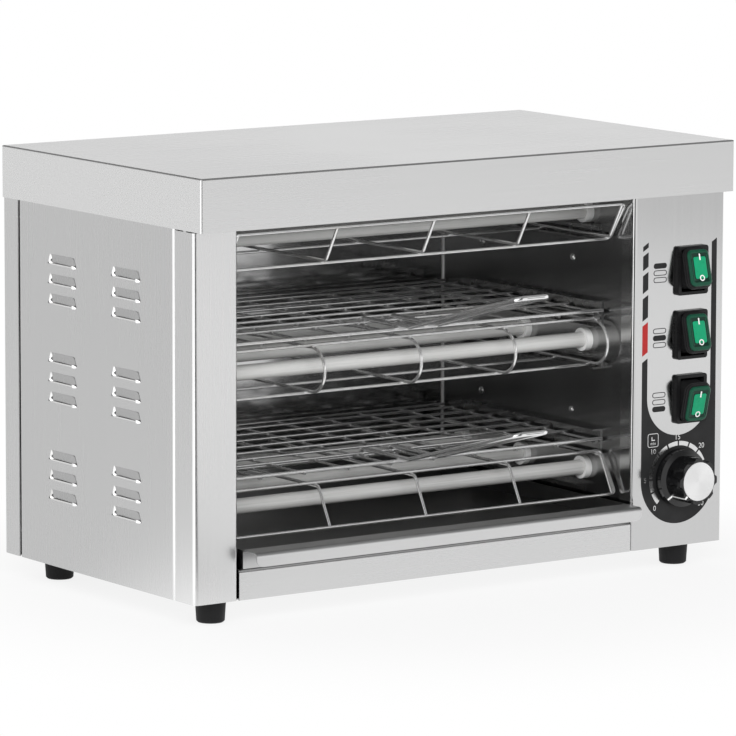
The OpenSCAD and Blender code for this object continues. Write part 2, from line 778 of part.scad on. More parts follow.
// Handle: two hooked legs that lie on the front rail, joined by a raised cross bar
module rack_handle(k) color(WIRE) {
    y_hook = rack_wires[0];
    z0 = rack_wire_z(k) - hook_r;
    z1 = rack_wire_z(k) + hook_r;
    y_bend = rack_y0 - handle_bend;
    slope = atan2(handle_rise, handle_reach);
    leg = norm([handle_rise, handle_reach]);
    joint = hook_r * tan(slope / 2);
    y_joint = y_bend - joint * cos(slope);
    z_joint = z1 + joint * sin(slope);
    hook = [[y_hook - hook_tip, z0], [y_hook + hook_r, z0], [y_hook + hook_r, z1], [y_bend, z1],
        [y_joint, z_joint]];
    for (s = [-1, 1])
        side_on(open_mid + s * handle_w / 2) rod(hook, hook_r, handle_d);
    x = handle_w / 2;
    bar = [[-x, sink], [-x, joint - leg], [x, joint - leg], [x, sink]];
    translate([open_mid, y_joint, z_joint]) rotate([-slope, 0, 0]) rod(bar, handle_corner, handle_d);
}

module crumb_tray() color(STEEL) {
    z1 = tray_z + tray_h;
    y_pull = front_y - tray_pull;
    path = [[front_y + sheet, z1 - sheet / 2], [y_pull + sheet / 2, z1 - sheet / 2],
        [y_pull + sheet / 2, z1 - tray_lip]];
    difference() {
        block(tray_x0, tray_x1, front_y, tray_y1, tray_z, z1);
        block(tray_x0 + sheet, tray_x1 - sheet, front_y + sheet, tray_y1 - sheet, tray_z + sheet, z1 + 1);
    }
    difference() {
        side_on(tray_x0) fold(path, tray_x1 - tray_x0);
        block(tray_x0 - 1, tray_x1 + 1, front_y, front_y + 2 * sheet, z1 - 2 * sheet, z1 + 1);
        lip_corner(tray_x0, 1);
        lip_corner(tray_x1, -1);
    }
}

// Cuts a lower corner of the pull lip round
module lip_corner(x, s) {
    z0 = tray_z + tray_h - tray_lip;
    y0 = front_y - tray_pull - 1;
    translate([x + s * lip_r, y0, z0 + lip_r]) difference() {
        translate([s > 0 ? -lip_r - 1 : 0, 0, -lip_r - 1]) cube([lip_r + 1, 2 * sheet + 2, lip_r + 1]);
        rotate([-90, 0, 0]) translate([0, 0, -1]) cylinder(r = lip_r, h = 2 * sheet + 4);
    }
}

// Extrudes an outline on the control panel towards the viewer, from depth y0 to y1 behind its face
module on_panel(x, z, y0, y1) translate([x, front_y + y1, z]) rotate([90, 0, 0])
    linear_extrude(y1 - y0) children();

module switch_frame(k) color(BLACK) {
    case_w = well_w + 2 * case_wall;
    case_h = well_h + 2 * case_wall;
    pivot = pivot_d + 2 * fit_gap;
    difference() {
        union() {
            on_panel(switch_x, switch_z[k], frame_step - switch_out, 0)
                round_rect(switch_w, switch_h, switch_r);
            on_panel(switch_x, switch_z[k], -switch_out, 0)
                round_rect(switch_w - 2 * frame_step, switch_h - 2 * frame_step, switch_r);
            on_panel(switch_x, switch_z[k], 0, switch_l) square([case_w, case_h], center = true);
        }
        on_panel(switch_x, switch_z[k], -switch_out - 1, switch_l - case_wall)
            square([well_w, well_h], center = true);
        wire_x(switch_x - case_w / 2 + fit_gap, switch_x + case_w / 2 - fit_gap,
            front_y, switch_z[k], pivot);
    }
}

// Rocker with the collar of its splash boot, turned about the pin into its rest position
module switch_rocker(k) color([0.05, 0.55, 0.36])
    translate([switch_x, front_y, switch_z[k]]) rotate([rocker_rest[k], 0, 0]) {
        rotate([90, 0, 0]) {
            translate([0, 0, -rocker_back]) linear_extrude(rocker_out + rocker_back)
                round_rect(rocker_w, rocker_h, rocker_r);
            translate([0, 0, rocker_out - rocker_cap - collar_h]) linear_extrude(collar_h)
                round_rect(rocker_w + 2 * collar_side, rocker_h + 2 * collar_side, rocker_r + collar_side);
        }
        pin = well_w / 2 + case_wall - 2 * fit_gap;
        wire_x(-pin, pin, 0, 0, pivot_d);
    }

// Places its children on the dial axis, with +Z pointing out of the panel
module at_dial() translate([dial_x, front_y, dial_z]) rotate([90, 0, 0]) children();

module timer_case() color([0.75, 0.75, 0.72]) at_dial() difference() {
    union() {
        translate([0, 0, -timer_l - sheet]) cylinder(d = timer_d, h = timer_l);
        translate([0, 0, -sheet - 1]) cylinder(d = bush_d, h = sheet + 1 + bush_out);
    }
    translate([0, 0, -sheet - shaft_in - 1]) cylinder(d = shaft_d + 2 * shaft_gap, h = timer_l);
}

module timer_shaft() color([0.85, 0.85, 0.85]) at_dial()
    translate([0, 0, -sheet - shaft_in]) cylinder(d = shaft_d, h = sheet + shaft_in + knob_out - shaft_top);

module timer_knob() color(BLACK) at_dial() difference() {
    union() {
        translate([0, 0, skirt_gap]) cylinder(d = skirt_d, h = skirt_t);
        translate([0, 0, skirt_gap + skirt_t])
            cylinder(d1 = skirt_d, d2 = grip_d + 2 * skirt_ledge, h = skirt_cone);
        translate([0, 0, skirt_gap]) cylinder(d = grip_d, h = knob_out - skirt_gap - cap_t + cap_seat);
    }
    for (i = [0:flute_n - 1])
        rotate((i + 0.5) * 360 / flute_n)
            translate([grip_d / 2 + flute_d / 2 - flute_depth, 0, flute_foot])
                cylinder(d = flute_d, h = knob_out);
    translate([0, 0, -1]) cylinder(d = shaft_d + fit_gap / 2, h = knob_out - shaft_top + 2);
    cylinder(d = bush_d + knob_neck, h = bush_out + skirt_gap);
    translate([0, 0, knob_out - cap_t]) cylinder(d = cap_d + fit_gap, h = cap_t + 1);
}

module knob_cap() color([0.9, 0.9, 0.9]) at_dial()
    translate([0, 0, knob_out - cap_t]) cylinder(d = cap_d, h = cap_t);

// Terminal block for the mains leads, on the base plate behind the switches
module terminal_block() color([0.93, 0.92, 0.86]) {
    w = 34;
    d = 20;
    h = 18;
    ahead = 70;
    y = back_y - ahead;
    difference() {
        block(gland_x - w / 2, gland_x + w / 2, y, y + d, base_z + sheet, base_z + sheet + h);
        for (i = [-1:1])
            translate([gland_x + i * w / 3, y - 1, base_z + sheet + h / 2]) rotate([-90, 0, 0])
                cylinder(d = h / 3, h = d + 2);
    }
}

module cable_gland() color(BLACK) translate([gland_x, back_y, base_z + gland_z]) rotate([-90, 0, 0])
    difference() {
        union() {
            cylinder(d = gland_hex, h = gland_out / 3, $fn = 6);
            cylinder(d = gland_thread, h = gland_out);
            translate([0, 0, gland_out / 2]) cylinder(d = gland_hex - 2, h = gland_out / 3, $fn = 12);
            translate([0, 0, -gland_in]) cylinder(d = gland_thread, h = gland_in);
            translate([0, 0, -sheet - gland_nut]) cylinder(d = gland_hex, h = gland_nut, $fn = 6);
        }
        translate([0, 0, -gland_in - 1]) cylinder(d = gland_bore, h = gland_in + gland_out + 2);
    }

module at_liner_screws() {
    for (y = liner_screw_y, z = liner_screw_z) {
        translate([wall_l, y, z]) rotate([0, 90, 0]) children();
        translate([wall_r, y, z]) rotate([0, -90, 0]) children();
    }
}

module liner_screws() color(WIRE) at_liner_screws() {
    dome_screw(sheet + nut_t + screw_tail);
    translate([0, 0, -sheet - nut_t]) difference() {
        hex_nut();
        cylinder(d = screw_d, h = nut_t);
    }
}

module at_rear_screws() {
    for (x = [-1, 0, 1], z = [base_z + rear_screw_in, top_z - rear_screw_in])
        translate([x * (half_w - rear_screw_in), back_y, z]) rotate([-90, 0, 0]) children();
}

module rear_screws() color(WIRE) at_rear_screws() dome_screw(sheet + nut_t);

module foot_screws() color(WIRE) for (x = [-foot_x, foot_x], y = foot_ys)
    translate([x, y, base_z + sheet]) dome_screw(sheet + foot_h / 2);

module feet() color(BLACK) for (x = [-foot_x, foot_x], y = foot_ys)
    translate([x, y, 0]) difference() {
        rotate_extrude() polygon([[0, 0], [foot_tip_d / 2 - 1, 0], [foot_tip_d / 2, 1],
            [foot_d / 2, foot_h], [0, foot_h]]);
        translate([0, 0, foot_h / 2 - 1]) cylinder(d = screw_d + fit_gap, h = foot_h);
    }

lid();
left_post();
control_panel();
left_side_panel();
right_side_panel();
rear_panel();
base_plate();
bottom_fascia();
left_liner();
right_liner();
rear_liner();
ceiling_reflector();
guard_rails(guard_rail_z[1]);  // top_guard_rails
rack_rails(deck_z[1]);  // upper_rack_rails
guard_rails(guard_rail_z[0]);  // middle_guard_rails
rack_rails(deck_z[0]);  // lower_rack_rails
tray_guides();
tray_runners();
top_guard();
middle_guard();
bottom_guard();
for (k = [0:2], j = [0:2])
    quartz_tube(k, j);
for (k = [0:2])
    collars(k);
for (k = [0:2])
    coils(k);
rack(1);  // upper_rack
rack(0);  // lower_rack
rack_handle(1);  // upper_rack_handle
rack_handle(0);  // lower_rack_handle
crumb_tray();
for (k = [0:2])
    switch_frame(k);
for (k = [0:2])
    switch_rocker(k);
timer_case();
timer_shaft();
timer_knob();
knob_cap();
terminal_block();
cable_gland();
liner_screws();
rear_screws();
foot_screws();
feet();
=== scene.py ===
import math

import bmesh
import bpy
from mathutils import Matrix, Vector


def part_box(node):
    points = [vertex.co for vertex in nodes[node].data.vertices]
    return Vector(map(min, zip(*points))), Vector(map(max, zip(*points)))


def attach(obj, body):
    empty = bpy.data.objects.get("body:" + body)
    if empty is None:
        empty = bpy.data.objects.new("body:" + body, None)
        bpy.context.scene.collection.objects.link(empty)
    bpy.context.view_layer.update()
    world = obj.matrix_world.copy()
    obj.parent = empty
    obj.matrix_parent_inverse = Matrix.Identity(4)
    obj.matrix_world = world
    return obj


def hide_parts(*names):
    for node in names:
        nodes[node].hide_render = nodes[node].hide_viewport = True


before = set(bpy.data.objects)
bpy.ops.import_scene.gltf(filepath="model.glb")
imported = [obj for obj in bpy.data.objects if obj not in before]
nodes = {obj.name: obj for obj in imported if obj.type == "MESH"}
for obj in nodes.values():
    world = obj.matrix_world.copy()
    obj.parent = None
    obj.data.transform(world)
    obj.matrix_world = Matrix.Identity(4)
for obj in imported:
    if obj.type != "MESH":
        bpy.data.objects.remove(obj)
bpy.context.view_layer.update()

# Lengths are in mm, and MM turns them into Blender's metres.
MM = 0.001
LEVELS = ("top", "middle", "bottom")
ROWS = ("front", "centre", "rear")
scene = bpy.context.scene
scene.view_settings.view_transform = "Standard"


# Camera

# The sensor, the lens and how far the view reaches, then where the camera is and how it is turned
SENSOR, LENS, CAMERA_REACH = 36, 269.99, 50000
CAMERA_PLACE = Vector((-2209.14, -3114.31, 716.20)) * MM
CAMERA_RIGHT = Vector((0.81975, -0.57272, 0.00322))
CAMERA_UP = Vector((0.08142, 0.12211, 0.98917))
CAMERA_BACK = Vector((-0.56691, -0.81061, 0.14673))


def place_camera():
    """The camera of the photograph: a long lens, seen from the left and a little above."""
    data = bpy.data.cameras.new("camera")
    data.sensor_fit = "HORIZONTAL"
    data.sensor_width = SENSOR
    data.lens = LENS
    data.clip_end = CAMERA_REACH * MM
    cam = bpy.data.objects.new("camera", data)
    turn = Matrix((CAMERA_RIGHT, CAMERA_UP, CAMERA_BACK)).transposed().to_4x4()
    cam.matrix_world = Matrix.Translation(CAMERA_PLACE) @ turn
    scene.collection.objects.link(cam)
    scene.camera = cam


place_camera()


# Node trees

# The sockets of a Mix node that mixes colours
MIX_FACTOR, MIX_A, MIX_B, MIX_RESULT = 0, 6, 7, 2


class Tree:
    """A node tree with short ways to add nodes and links."""

    def __init__(self, tree):
        self.tree = tree

    def feed(self, socket, value):
        """A socket takes its value from another socket or from a constant."""
        if isinstance(value, bpy.types.NodeSocket):
            self.tree.links.new(value, socket)
        else:
            socket.default_value = value

    def node(self, kind, inputs=None, **props):
        made = self.tree.nodes.new("ShaderNode" + kind)
        for key, value in props.items():
            setattr(made, key, value)
        for key, value in (inputs or {}).items():
            self.feed(made.inputs[key], value)
        return made

    def math(self, operation, a, b):
        return self.node("Math", {0: a, 1: b}, operation=operation).outputs[0]

    def axis(self, vector, name):
        """One coordinate of a vector."""
        return self.node("SeparateXYZ", {0: vector}).outputs[name]

    def along(self, place, direction):
        """How far a place or a direction lies along another one."""
        return self.node("VectorMath", {0: place, 1: direction}, operation="DOT_PRODUCT").outputs["Value"]

    def span(self, value, low, high, start=0.3, end=0.7, curve="LINEAR"):
        """value, from start to end, brought into the range from low to high."""
        return self.node("MapRange", {
            "Value": value, "From Min": start, "From Max": end, "To Min": low, "To Max": high,
        }, interpolation_type=curve).outputs["Result"]

    def ramp(self, value, start, end, low, high):
        """A smooth step from low to high while value goes from start to end."""
        return self.span(value, low, high, start, end, "SMOOTHSTEP")


class Shader(Tree):
    """A Principled material with short ways to add textures."""

    def __init__(self, name, **values):
        self.material = bpy.data.materials.new(name)
        self.material.use_nodes = True
        super().__init__(self.material.node_tree)
        self.bsdf = self.tree.nodes["Principled BSDF"]
        for key, value in values.items():
            self.bsdf.inputs[key.replace("_", " ")].default_value = value

    def place(self):
        """Object coordinates, in metres."""
        return self.node("TexCoord").outputs["Object"]

    def facing(self, axis):
        """How far a face looks along an axis."""
        return self.axis(self.node("NewGeometry").outputs["Normal"], axis)

    def noise(self, scale=1.0, stretch=(1, 1, 1), detail=3.0, rough=0.55):
        """Noise with a scale per metre, stretched by a factor for each axis."""
        place = self.node("Mapping", {"Vector": self.place(), "Scale": stretch}).outputs["Vector"]
        return self.node("TexNoise", {
            "Vector": place, "Scale": scale, "Detail": detail, "Roughness": rough,
        }).outputs["Fac"]

    def mix(self, factor, a, b):
        """Two colours, mixed by a factor."""
        made = self.node("Mix", {MIX_FACTOR: factor}, data_type="RGBA")
        for index, colour in ((MIX_A, a), (MIX_B, b)):
            self.feed(made.inputs[index], (*colour, 1) if isinstance(colour, tuple) else colour)
        return made.outputs[MIX_RESULT]

    def bump(self, height, depth, strength):
        """A normal from a height texture that goes a depth in mm."""
        return self.node("Bump", {
            "Height": height, "Distance": depth * MM, "Strength": strength,
        }).outputs["Normal"]

    def set(self, **links):
        for key, value in links.items():
            self.tree.links.new(value, self.bsdf.inputs[key.replace("_", " ")])
        return self.material


# Node materials

# Waves per metre of brushed steel, along and across the brushing
STREAK_ALONG, STREAK_ACROSS = 6, 700
HAIR_ALONG, HAIR_ACROSS = 16, 2600

# How far the painted shade of the cavity takes to set in on a sheet
SHADE_EDGE = 6


def grey(value):
    return (value, value, value)


def brushed_steel(name, brushing, tone, rough=0.27, ends=None):
    """Satin steel sheet with fine lines along one axis and faint cloudy handling marks.

    Faces that look left or right take the tone in ends, where it is given: a lighter tone that paints a
    highlight on the folded ends.
    """
    s = Shader(name, Metallic=1.0)
    lines = tuple(STREAK_ALONG if axis == brushing else STREAK_ACROSS for axis in "XYZ")
    fine = tuple(HAIR_ALONG if axis == brushing else HAIR_ACROSS for axis in "XYZ")
    streak = s.noise(1.0, lines, detail=3.0, rough=0.6)
    hair = s.noise(1.0, fine, detail=2.0)
    cloud = s.noise(5.0, detail=3.0, rough=0.5)
    base = s.mix(s.span(streak, 0, 1), grey(tone * 0.99), grey(tone * 1.01))
    base = s.mix(s.span(cloud, 0.0, 0.5), base, (tone * 0.972, tone * 0.974, tone * 0.976))
    # Painted highlight: faces that look left or right are made lighter.
    if ends:
        facing = s.facing("X")
        sideways = s.math("MULTIPLY", facing, facing)
        painted_lit_ends = s.mix(s.span(streak, 0, 1), grey(ends * 0.99), grey(ends))
        base = s.mix(s.span(sideways, 0.0, 1.0, 0.5, 0.9), base, painted_lit_ends)
    shine = s.math("ADD", s.span(streak, rough - 0.012, rough + 0.012), s.span(cloud, -0.012, 0.012))
    return s.set(Base_Color=base, Roughness=shine, Normal=s.bump(hair, 0.012, 0.2))


def mirror_steel(name, tone, rough, shaded=None):
    """Polished sheet: nearly a mirror, with wiping marks and the slight waves of thin sheet.

    The last argument, where it is given, says from where on a painted shade darkens the sheet, as Y in metres,
    and to what tone: the shade deep in the cavity, painted into the colour.
    """
    s = Shader(name, Metallic=1.0)
    wipe = s.noise(14.0, (1, 1, 0.4), detail=4.0, rough=0.5)
    spots = s.noise(160.0, detail=2.0)
    sheet = s.noise(8.0, detail=1.0)
    base = s.mix(s.span(wipe, 0, 1), grey(tone * 0.95), grey(tone * 1.03))
    if shaded:
        start, dark = shaded
        painted_shade = s.mix(s.span(wipe, 0, 1), grey(dark * 0.9), grey(dark * 1.1))
        behind = s.span(s.axis(s.place(), "Y"), 0.0, 1.0, start, start + SHADE_EDGE * MM)
        base = s.mix(behind, base, painted_shade)
    shine = s.math("ADD", s.span(wipe, rough * 0.85, rough * 1.2), s.span(spots, 0.0, 0.02, 0.55, 0.8))
    return s.set(Base_Color=base, Roughness=shine, Normal=s.bump(sheet, 0.2, 0.4))


def plated_wire(name, tone, rough, metal=1.0, painted_dark_fronts=False):
    """Bright drawn wire: small dull patches, fine pits and a trace of heat stain.

    With the flag for it, what faces straight to the front is painted dark: a painted shade that hides the
    glint of the wires' cut ends.
    """
    s = Shader(name, Metallic=metal)
    patch = s.noise(45.0, detail=4.0)
    pits = s.noise(900.0, detail=2.0)
    stain = s.noise(14.0, detail=2.0)
    base = s.mix(s.span(patch, 0, 1), grey(tone * 0.9), grey(tone * 1.06))
    base = s.mix(s.span(stain, 0.0, 0.35, 0.5, 0.8), base, (tone * 0.86, tone * 0.82, tone * 0.76))
    # Painted shade: faces that look straight to the front are darkened.
    if painted_dark_fronts:
        base = s.mix(s.span(s.facing("Y"), 1.0, 0.0, -0.995, -0.985), base, grey(tone * 0.2))
    shine = s.span(patch, rough * 0.7, rough * 1.6)
    return s.set(Base_Color=base, Roughness=shine, Normal=s.bump(pits, 0.04, 0.35))


def milky_quartz():
    """Fused quartz full of fine bubbles drawn out along the tube."""
    s = Shader("milky_quartz", IOR=1.46, Coat_Weight=0.35, Coat_Roughness=0.12)
    drawn = s.noise(1.0, (9, 420, 420), detail=4.0, rough=0.6)
    cloud = s.noise(22.0, (0.4, 1, 1), detail=3.0)
    base = s.mix(s.span(drawn, 0, 1), (0.54, 0.54, 0.53), (0.66, 0.66, 0.65))
    base = s.mix(s.span(cloud, 0.0, 0.5), base, (0.58, 0.58, 0.565))
    return s.set(Base_Color=base, Roughness=s.span(drawn, 0.2, 0.38), Normal=s.bump(drawn, 0.06, 0.4))


def ceramic(name, colour):
    """Unglazed ceramic: chalky, with pores and a faint grey from handling."""
    s = Shader(name)
    pores = s.noise(1400.0, detail=3.0)
    dirt = s.noise(60.0, detail=4.0)
    dark = tuple(c * 0.86 for c in colour)
    base = s.mix(s.span(dirt, 0, 1, 0.4, 0.75), colour, dark)
    return s.set(Base_Color=base, Roughness=s.span(pores, 0.45, 0.7), Normal=s.bump(pores, 0.08, 0.5))


def moulded(name, colour, rough, grain=0.06, scale=1500.0, gloss=0.2):
    """Moulded plastic or rubber: a fine grain, dull patches and a little dust."""
    s = Shader(name, Specular_IOR_Level=gloss)
    texture = s.noise(scale, detail=2.0, rough=0.5)
    patch = s.noise(60.0, detail=4.0)
    dusty = tuple(c * 1.5 + 0.003 for c in colour)
    base = s.mix(s.span(patch, 0.0, 0.6, 0.45, 0.75), colour, dusty)
    shine = s.math("ADD", s.span(patch, rough - 0.06, rough + 0.08), s.span(texture, -0.03, 0.03))
    return s.set(Base_Color=base, Roughness=shine, Normal=s.bump(texture, grain, 0.5))


def lens_green(name, low, high, rough):
    """Green plastic over a lamp: deep colour, a fine frost and a polished skin."""
    s = Shader(name, Coat_Weight=0.06, Coat_Roughness=0.1, IOR=1.4, Specular_IOR_Level=0.3)
    depth = s.noise(240.0, detail=3.0)
    frost = s.noise(2200.0, detail=1.0)
    base = s.mix(s.span(depth, 0, 1), low, high)
    shine = s.span(depth, rough * 0.8, rough * 1.3)
    return s.set(Base_Color=base, Roughness=shine, Normal=s.bump(frost, 0.02, 0.3))


def ink(name, colour, rough=0.38, gloss=0.5):
    """Screen-printed ink: a slightly uneven film with the mesh of the screen in it."""
    s = Shader(name, Specular_IOR_Level=gloss)
    mesh = s.noise(1.0, (2600, 2600, 2600), detail=1.0)
    film = s.noise(90.0, detail=4.0)
    light = tuple(min(c * 1.25 + 0.004, 1) for c in colour)
    base = s.mix(s.span(film, 0, 1), colour, light)
    shine = s.span(film, rough - 0.06, rough + 0.08)
    return s.set(Base_Color=base, Roughness=shine, Normal=s.bump(mesh, 0.01, 0.4))


def spun_metal():
    """Turned cap: fine rings round the centre that spread the light into two fans."""
    s = Shader("spun_cap", Metallic=1.0, Anisotropic=0.9, Anisotropic_Rotation=0.25)
    lo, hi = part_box("knob_cap")
    mid = (lo + hi) / 2
    off = s.node("VectorMath", {0: s.place(), 1: mid}, operation="SUBTRACT").outputs["Vector"]
    flat = s.node("VectorMath", {0: off, 1: (1, 0, 1)}, operation="MULTIPLY").outputs["Vector"]
    radius = s.node("VectorMath", {0: flat}, operation="LENGTH").outputs["Value"]
    noise = s.node("TexNoise", {"W": radius, "Scale": 2600.0, "Detail": 3.0}, noise_dimensions="1D")
    ring = noise.outputs["Fac"]
    base = s.mix(s.span(ring, 0, 1), grey(0.8), grey(0.92))
    tangent = s.node("Tangent", direction_type="RADIAL", axis="Y").outputs["Tangent"]
    return s.set(Base_Color=base, Roughness=s.span(ring, 0.3, 0.42), Tangent=tangent,
                 Normal=s.bump(ring, 0.02, 0.4))


# The grip at the front of the tray stays out of the painted shade of the cavity.
TRAY_GRIP = 16
TRAY_SHADE = (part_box("crumb_tray")[0].y + TRAY_GRIP * MM, 0.3)

STEEL_X = brushed_steel("steel_brushed_across", "X", 0.64)
STEEL_Z = brushed_steel("steel_brushed_upright", "Z", 0.65)
POST = brushed_steel("steel_post", "Z", 0.69)
# The louvres' dished faces: a darker copy of the sheet steel, a painted shade in their recesses.
DISHED_SHADE = brushed_steel("steel_dished_shaded", "Z", 0.5)
PANEL = brushed_steel("steel_panel", "Z", 0.585, rough=0.13)
SCALE = brushed_steel("steel_scale", "Z", 0.68, rough=0.2)
# The lid's left and right ends get a lighter tone, a painted highlight.
LID = brushed_steel("steel_lid", "X", 0.66, ends=0.84)
# The tray inside the cavity gets a painted shade, darker behind its grip.
TRAY = mirror_steel("steel_tray", 0.65, 0.36, shaded=TRAY_SHADE)
LINER = mirror_steel("steel_liner", 0.4, 0.2)
MIRROR = mirror_steel("steel_mirror", 0.54, 0.1)
# A pale, half diffuse steel for the corner beads: a painted highlight.
BEAD_HIGHLIGHT = plated_wire("corner_bead", 0.92, 0.34, metal=0.5)
RAIL = plated_wire("rail_steel", 0.5, 0.2)
WIRE = plated_wire("bright_wire", 0.85, 0.14, metal=0.9, painted_dark_fronts=True)
COIL = plated_wire("oxidised_coil", 0.3, 0.55)
FASTENER = plated_wire("zinc_screw", 0.88, 0.16)
CAP = spun_metal()
QUARTZ = milky_quartz()
CERAMIC = ceramic("white_ceramic", (0.95, 0.95, 0.94))
TERMINAL = ceramic("cream_ceramic", (0.8, 0.77, 0.68))
BLACK = moulded("black_plastic", (0.01, 0.01, 0.0105), 0.3)
KNOB = moulded("black_knob", (0.006, 0.006, 0.0065), 0.15, grain=0.02, gloss=0.5)
BOOT = moulded("black_boot", (0.012, 0.012, 0.0125), 0.4)
RUBBER = moulded("black_rubber", (0.01, 0.01, 0.0105), 0.6, grain=0.1, scale=900.0)
GREEN = lens_green("green_lens", (0.005, 0.06, 0.032), (0.006, 0.075, 0.041), 0.3)
GREEN_DARK = lens_green("green_edge", (0.002, 0.022, 0.013), (0.003, 0.028, 0.017), 0.32)
GREEN_BRIGHT = lens_green("green_window", (0.003, 0.29, 0.133), (0.006, 0.34, 0.16), 0.32)
WHITE_INK = ink("white_ink", (0.82, 0.82, 0.8))
BLACK_INK = ink("black_ink", (0.014, 0.014, 0.0145), rough=0.34, gloss=0.2)
RED_INK = ink("red_ink", (0.38, 0.018, 0.018), gloss=0.3)

NODE_MATERIALS = {
    "lid": LID, "left_post": POST, "control_panel": PANEL, "left_side_panel": STEEL_Z,
    "right_side_panel": STEEL_Z, "rear_panel": POST, "base_plate": STEEL_X, "bottom_fascia": STEEL_X,
    "left_liner": LINER, "right_liner": LINER, "rear_liner": MIRROR, "ceiling_reflector": LINER,
    "crumb_tray": TRAY, "upper_rack": WIRE, "lower_rack": WIRE, "upper_rack_handle": WIRE,
    "lower_rack_handle": WIRE, "top_guard": WIRE, "middle_guard": WIRE, "bottom_guard": WIRE,
    "top_guard_rails": RAIL, "upper_rack_rails": RAIL, "middle_guard_rails": RAIL, "lower_rack_rails": RAIL,
    "tray_guides": RAIL, "tray_runners": RAIL, "timer_case": RAIL, "timer_shaft": FASTENER,
    "timer_knob": KNOB, "knob_cap": CAP, "terminal_block": TERMINAL, "cable_gland": BLACK,
    "liner_screws": FASTENER, "rear_screws": FASTENER, "foot_screws": FASTENER, "feet": RUBBER,
}
for level in LEVELS:
    NODE_MATERIALS["collars_" + level] = CERAMIC
    NODE_MATERIALS["coils_" + level] = COIL
    NODE_MATERIALS["switch_frame_" + level] = BLACK
    NODE_MATERIALS["switch_rocker_" + level] = GREEN
    for row in ROWS:
        NODE_MATERIALS[f"tube_{level}_{row}"] = QUARTZ
for name, material in NODE_MATERIALS.items():
    nodes[name].data.materials.clear()
    nodes[name].data.materials.append(material)


# Mesh helpers

# Vertices closer than this, in metres, are one vertex.
SAME_VERTEX = 1e-7


def new_piece(name, mesh, material, body, sharp=35):
    """A finished mesh as a piece that rides on a body; edges past an angle in degrees stay sharp."""
    mesh.materials.append(material)
    mesh.shade_smooth()
    mesh.set_sharp_from_angle(angle=math.radians(sharp))
    obj = bpy.data.objects.new(name, mesh)
    scene.collection.objects.link(obj)
    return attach(obj, body)


def to_mesh(name, build):
    """A mesh from a function that fills a bmesh, with its faces turned outwards."""
    bm = bmesh.new()
    build(bm)
    bmesh.ops.remove_doubles(bm, verts=bm.verts, dist=SAME_VERTEX)
    bmesh.ops.recalc_face_normals(bm, faces=bm.faces)
    mesh = bpy.data.meshes.new(name)
    bm.to_mesh(mesh)
    bm.free()
    return mesh


def arc(cx, cz, r, start, end, steps):
    """Points on an arc, angles in degrees anticlockwise from the right."""
    turn = [math.radians(start + (end - start) * i / steps) for i in range(steps + 1)]
    return [(cx + r * math.cos(a), cz + r * math.sin(a)) for a in turn]


def round_rect(w, h, r, steps=6):
    """Points of a rectangle with round corners, anticlockwise."""
    points = []
    for x, z, start in ((1, 1, 0), (-1, 1, 90), (-1, -1, 180), (1, -1, 270)):
        points += arc(x * (w / 2 - r), z * (h / 2 - r), r, start, start + 90, steps)
    return points


def moved(points, x, z):
    return [(px + x, pz + z) for px, pz in points]


def loft(bm, rings):
    """A closed skin over rings of points that all have the same count."""
    made = [[bm.verts.new(p) for p in ring] for ring in rings]
    count = len(made[0])
    for a, b in zip(made, made[1:]):
        for i in range(count):
            j = (i + 1) % count
            bm.faces.new((a[i], a[j], b[j], b[i]))
    bm.faces.new(made[0][::-1])
    bm.faces.new(made[-1])


def plate(bm, rows, step):
    """A closed thin plate from rows of points and the step from its front to its back."""
    front = [[bm.verts.new(p) for p in row] for row in rows]
    back = [[bm.verts.new(Vector(p) + Vector(step)) for p in row] for row in rows]
    last, end = len(rows) - 1, len(rows[0]) - 1
    for layer in (front, back):
        for i in range(last):
            for j in range(end):
                bm.faces.new((layer[i][j], layer[i][j + 1], layer[i + 1][j + 1], layer[i + 1][j]))
    rim = [(0, j) for j in range(end)] + [(i, end) for i in range(last)]
    rim += [(last, j) for j in range(end, 0, -1)] + [(i, 0) for i in range(last, 0, -1)]
    for (i, j), (next_i, next_j) in zip(rim, rim[1:] + rim[:1]):
        bm.faces.new((front[i][j], front[next_i][next_j], back[next_i][next_j], back[i][j]))


def curve_mesh(name, curve):
    """The mesh of a curve or text, stood up to face -Y."""
    holder = bpy.data.objects.new(name + "_curve", curve)
    scene.collection.objects.link(holder)
    bpy.context.view_layer.update()
    mesh = bpy.data.meshes.new_from_object(holder.evaluated_get(bpy.context.evaluated_depsgraph_get()))
    bpy.data.objects.remove(holder)
    bpy.data.curves.remove(curve)
    mesh.transform(Matrix.Rotation(math.radians(90), 4, "X"))
    mesh.name = name
    mesh.materials.clear()
    return mesh


def flat_mesh(name, outlines, thick):
    """A plate in the X-Z plane from closed outlines, holes included, that faces -Y."""
    curve = bpy.data.curves.new(name, "CURVE")
    curve.dimensions = "2D"
    curve.fill_mode = "BOTH"
    curve.extrude = thick * MM / 2
    for points in outlines:
        spline = curve.splines.new("POLY")
        spline.points.add(len(points) - 1)
        for point, (x, z) in zip(spline.points, points):
            point.co = (x * MM, z * MM, 0, 1)
        spline.use_cyclic_u = True
    return curve_mesh(name, curve)


# Panel print, with heights from the foot of the panel

PANEL_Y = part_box("control_panel")[0].y
BASE_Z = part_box("control_panel")[0].z / MM

# The thickness of a film of ink, and the layer of what lies on the black field
FILM, ON_FIELD = 0.06, 1

knob_lo, knob_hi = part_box("timer_knob")
KNOB_CENTRE = (knob_lo + knob_hi) / 2
DIAL_X, DIAL_Z, FIELD_R = KNOB_CENTRE.x / MM, KNOB_CENTRE.z / MM - BASE_Z, 33.2

